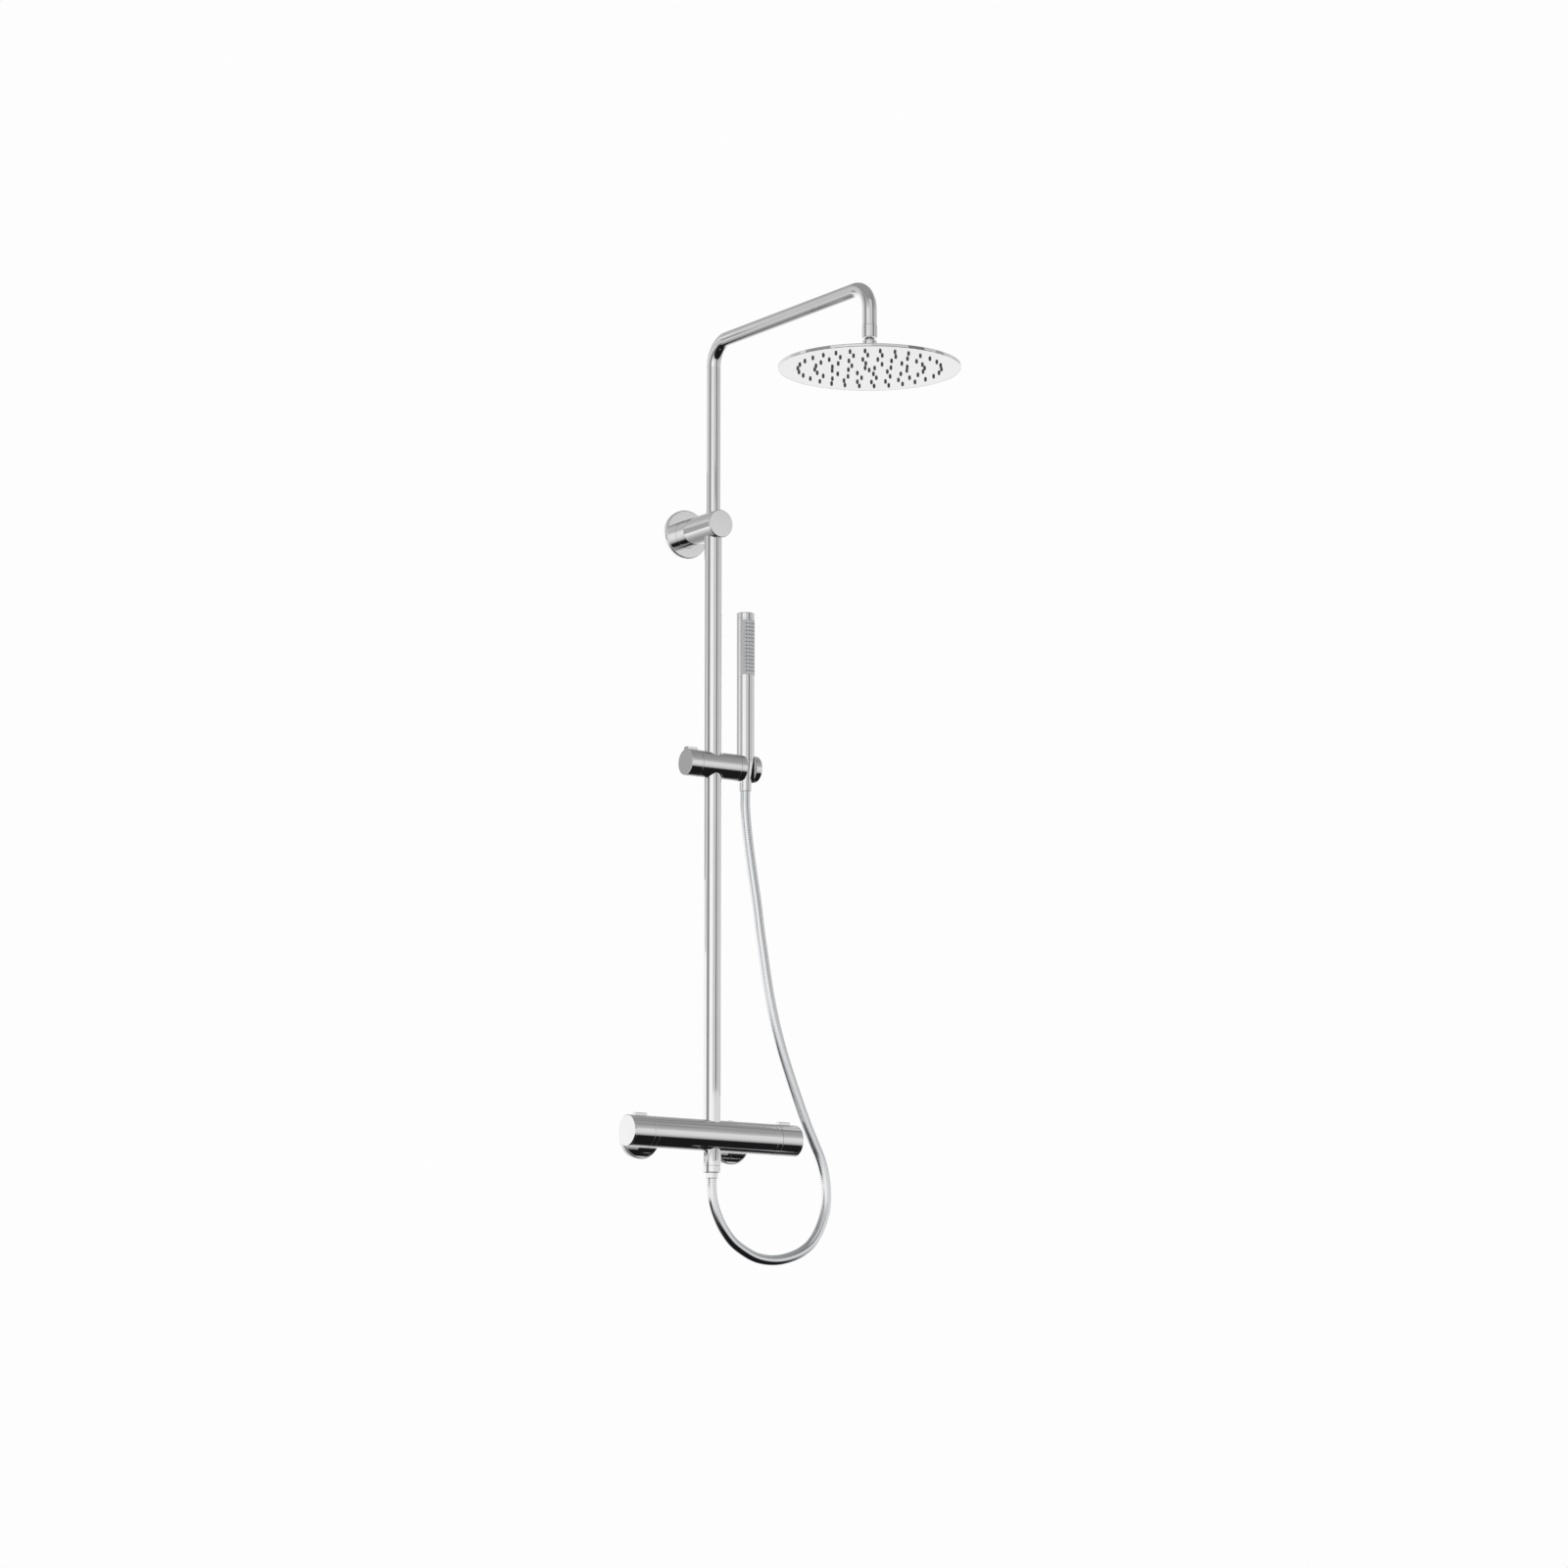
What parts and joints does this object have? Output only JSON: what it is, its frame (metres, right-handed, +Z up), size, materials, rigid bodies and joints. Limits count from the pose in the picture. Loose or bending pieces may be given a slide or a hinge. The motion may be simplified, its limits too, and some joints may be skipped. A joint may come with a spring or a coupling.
{
  "type": "rainfall shower column",
  "caption": "Exposed thermostatic bar mixer with a telescopic riser, swivelling arm, flat round overhead shower, sliding holder, stick hand shower and hose.",
  "frame": {"origin": "midway between the two water inlets, on the wall plane", "axes": "+Z up along the riser, +Y into the wall (the shower stands out towards -Y), +X to the right seen from the front"},
  "size_m": [0.3402, 0.61, 1.3212],
  "materials": {
    "chrome": "polished chrome plate",
    "dark_plastic": "moulded, satin",
    "brass": "machined",
    "bearing_plastic": "moulded acetal",
    "black_rubber": "moulded seal",
    "steel": "plain",
    "spray_plate": "pale satin face",
    "nozzle_silicone": "moulded silicone",
    "grey_plastic": "moulded, satin",
    "hose_silver": "smooth silver plastic hose"
  },
  "bodies": {
    "mixer": {"mixer_body": "chrome", "thermostatic_cartridge": "dark_plastic", "diverter_cartridge": "dark_plastic", "temperature_scale_ring": "chrome", "flow_scale_ring": "chrome", "inlet_unions": "chrome", "inlet_nuts": "chrome", "inlet_roses": "chrome", "inlet_filters": "steel", "check_valves": "dark_plastic", "riser_nipple": "brass", "hose_nipple": "chrome", "pipe_seals": "black_rubber", "lower_riser_tube": "chrome", "riser_gland": "dark_plastic", "bracket_arm": "chrome", "bracket_wall_plate": "steel", "bracket_rose": "chrome", "bracket_grub_screw": "steel", "hose_outlet_nut": "chrome", "hose_washer": "black_rubber", "hose_ferrule": "chrome", "hose": "hose_silver"},
    "flow_knob": {"flow_knob": "chrome", "flow_knob_cap": "chrome", "flow_knob_screw": "steel", "flow_spindle": "brass", "eco_button_spring": "steel"},
    "eco_button": {"eco_stop_button": "chrome"},
    "temperature_knob": {"temperature_knob": "chrome", "temperature_knob_cap": "chrome", "temperature_knob_screw": "steel", "temperature_spindle": "brass", "safety_button_spring": "steel"},
    "safety_button": {"safety_stop_button": "chrome"},
    "column_bush": {"column_guide_bush": "bearing_plastic"},
    "arm": {"shower_arm_tube": "chrome", "arm_nipple": "brass", "swivel_nut": "chrome"},
    "seat_ring": {"ball_seat_ring": "bearing_plastic"},
    "seal_ring": {"ball_seal_ring": "black_rubber"},
    "overhead_shower": {"ball_stud": "chrome", "head_hub": "chrome", "head_top_shell": "chrome", "head_spray_plate": "spray_plate", "head_nozzles": "nozzle_silicone"},
    "slider_rings": {"slider_guide_rings": "bearing_plastic"},
    "slider": {"slider_barrel": "chrome"},
    "clamp_knob": {"clamp_knob": "chrome"},
    "clamp_plunger": {"clamp_plunger": "brass", "clamp_pad": "bearing_plastic"},
    "holder": {"holder_cradle": "chrome", "holder_liner": "dark_plastic"},
    "handset": {"handset_shell": "chrome", "handset_cap": "chrome", "spray_insert": "grey_plastic", "spray_nozzles": "nozzle_silicone", "handset_connector": "brass", "hose_cone_nut": "chrome"}
  },
  "joints": [
    {"name": "flow_knob_turn", "type": "hinge", "parent": "mixer", "child": "flow_knob", "pos_m": [-0.12, -0.075, 0], "axis": [1, 0, 0], "range_deg": [-90, 90]},
    {"name": "eco_button_press", "type": "slide", "parent": "flow_knob", "child": "eco_button", "axis": [0, 0, -1], "range_m": [0, 0.002], "stiffness_N_per_m": 700, "springref_m": -0.001, "deforming": ["eco_button_spring"]},
    {"name": "temperature_knob_turn", "type": "hinge", "parent": "mixer", "child": "temperature_knob", "pos_m": [0.12, -0.075, 0], "axis": [1, 0, 0], "range_deg": [-180, 90]},
    {"name": "safety_button_press", "type": "slide", "parent": "temperature_knob", "child": "safety_button", "axis": [0, 0, -1], "range_m": [0, 0.002], "stiffness_N_per_m": 700, "springref_m": -0.001, "deforming": ["safety_button_spring"]},
    {"name": "column_height", "type": "slide", "parent": "mixer", "child": "column_bush", "axis": [0, 0, 1], "range_m": [-0.15, 0.1]},
    {"name": "arm_swivel", "type": "hinge", "parent": "column_bush", "child": "arm", "pos_m": [0, -0.075, 0.9], "axis": [0, 0, 1], "range_deg": [-60, 60]},
    {"name": "head_tilt_front", "type": "hinge", "parent": "arm", "child": "seat_ring", "pos_m": [0, -0.465, 1.068], "axis": [1, 0, 0], "range_deg": [-12, 12]},
    {"name": "head_tilt_side", "type": "hinge", "parent": "seat_ring", "child": "seal_ring", "pos_m": [0, -0.465, 1.068], "axis": [0, 1, 0], "range_deg": [-12, 12]},
    {"name": "head_spin", "type": "hinge", "parent": "seal_ring", "child": "overhead_shower", "pos_m": [0, -0.465, 1.068], "axis": [0, 0, 1], "continuous": true},
    {"name": "slider_height", "type": "slide", "parent": "mixer", "child": "slider_rings", "axis": [0, 0, 1], "range_m": [-0.1, 0.25], "deforming": ["hose"]},
    {"name": "slider_swivel", "type": "hinge", "parent": "slider_rings", "child": "slider", "pos_m": [0, -0.075, 0.524], "axis": [0, 0, 1], "range_deg": [-60, 30]},
    {"name": "clamp_knob_turn", "type": "hinge", "parent": "slider", "child": "clamp_knob", "pos_m": [-0.036, -0.075, 0.524], "axis": [1, 0, 0], "range_deg": [0, 180]},
    {"name": "clamp_plunger_slide", "type": "slide", "parent": "slider", "child": "clamp_plunger", "axis": [-1, 0, 0], "range_m": [0, 0.00065]},
    {"name": "holder_tilt", "type": "hinge", "parent": "slider", "child": "holder", "pos_m": [0.038, -0.075, 0.524], "axis": [1, 0, 0], "range_deg": [-5, 40]},
    {"name": "handset_lift", "type": "slide", "parent": "holder", "child": "handset", "axis": [0, 0, 1], "range_m": [0, 0.06]}
  ],
  "couplings": [
    {"joint": "clamp_plunger_slide", "follows": "clamp_knob_turn", "m_per_rad": 0.0002}
  ]
}
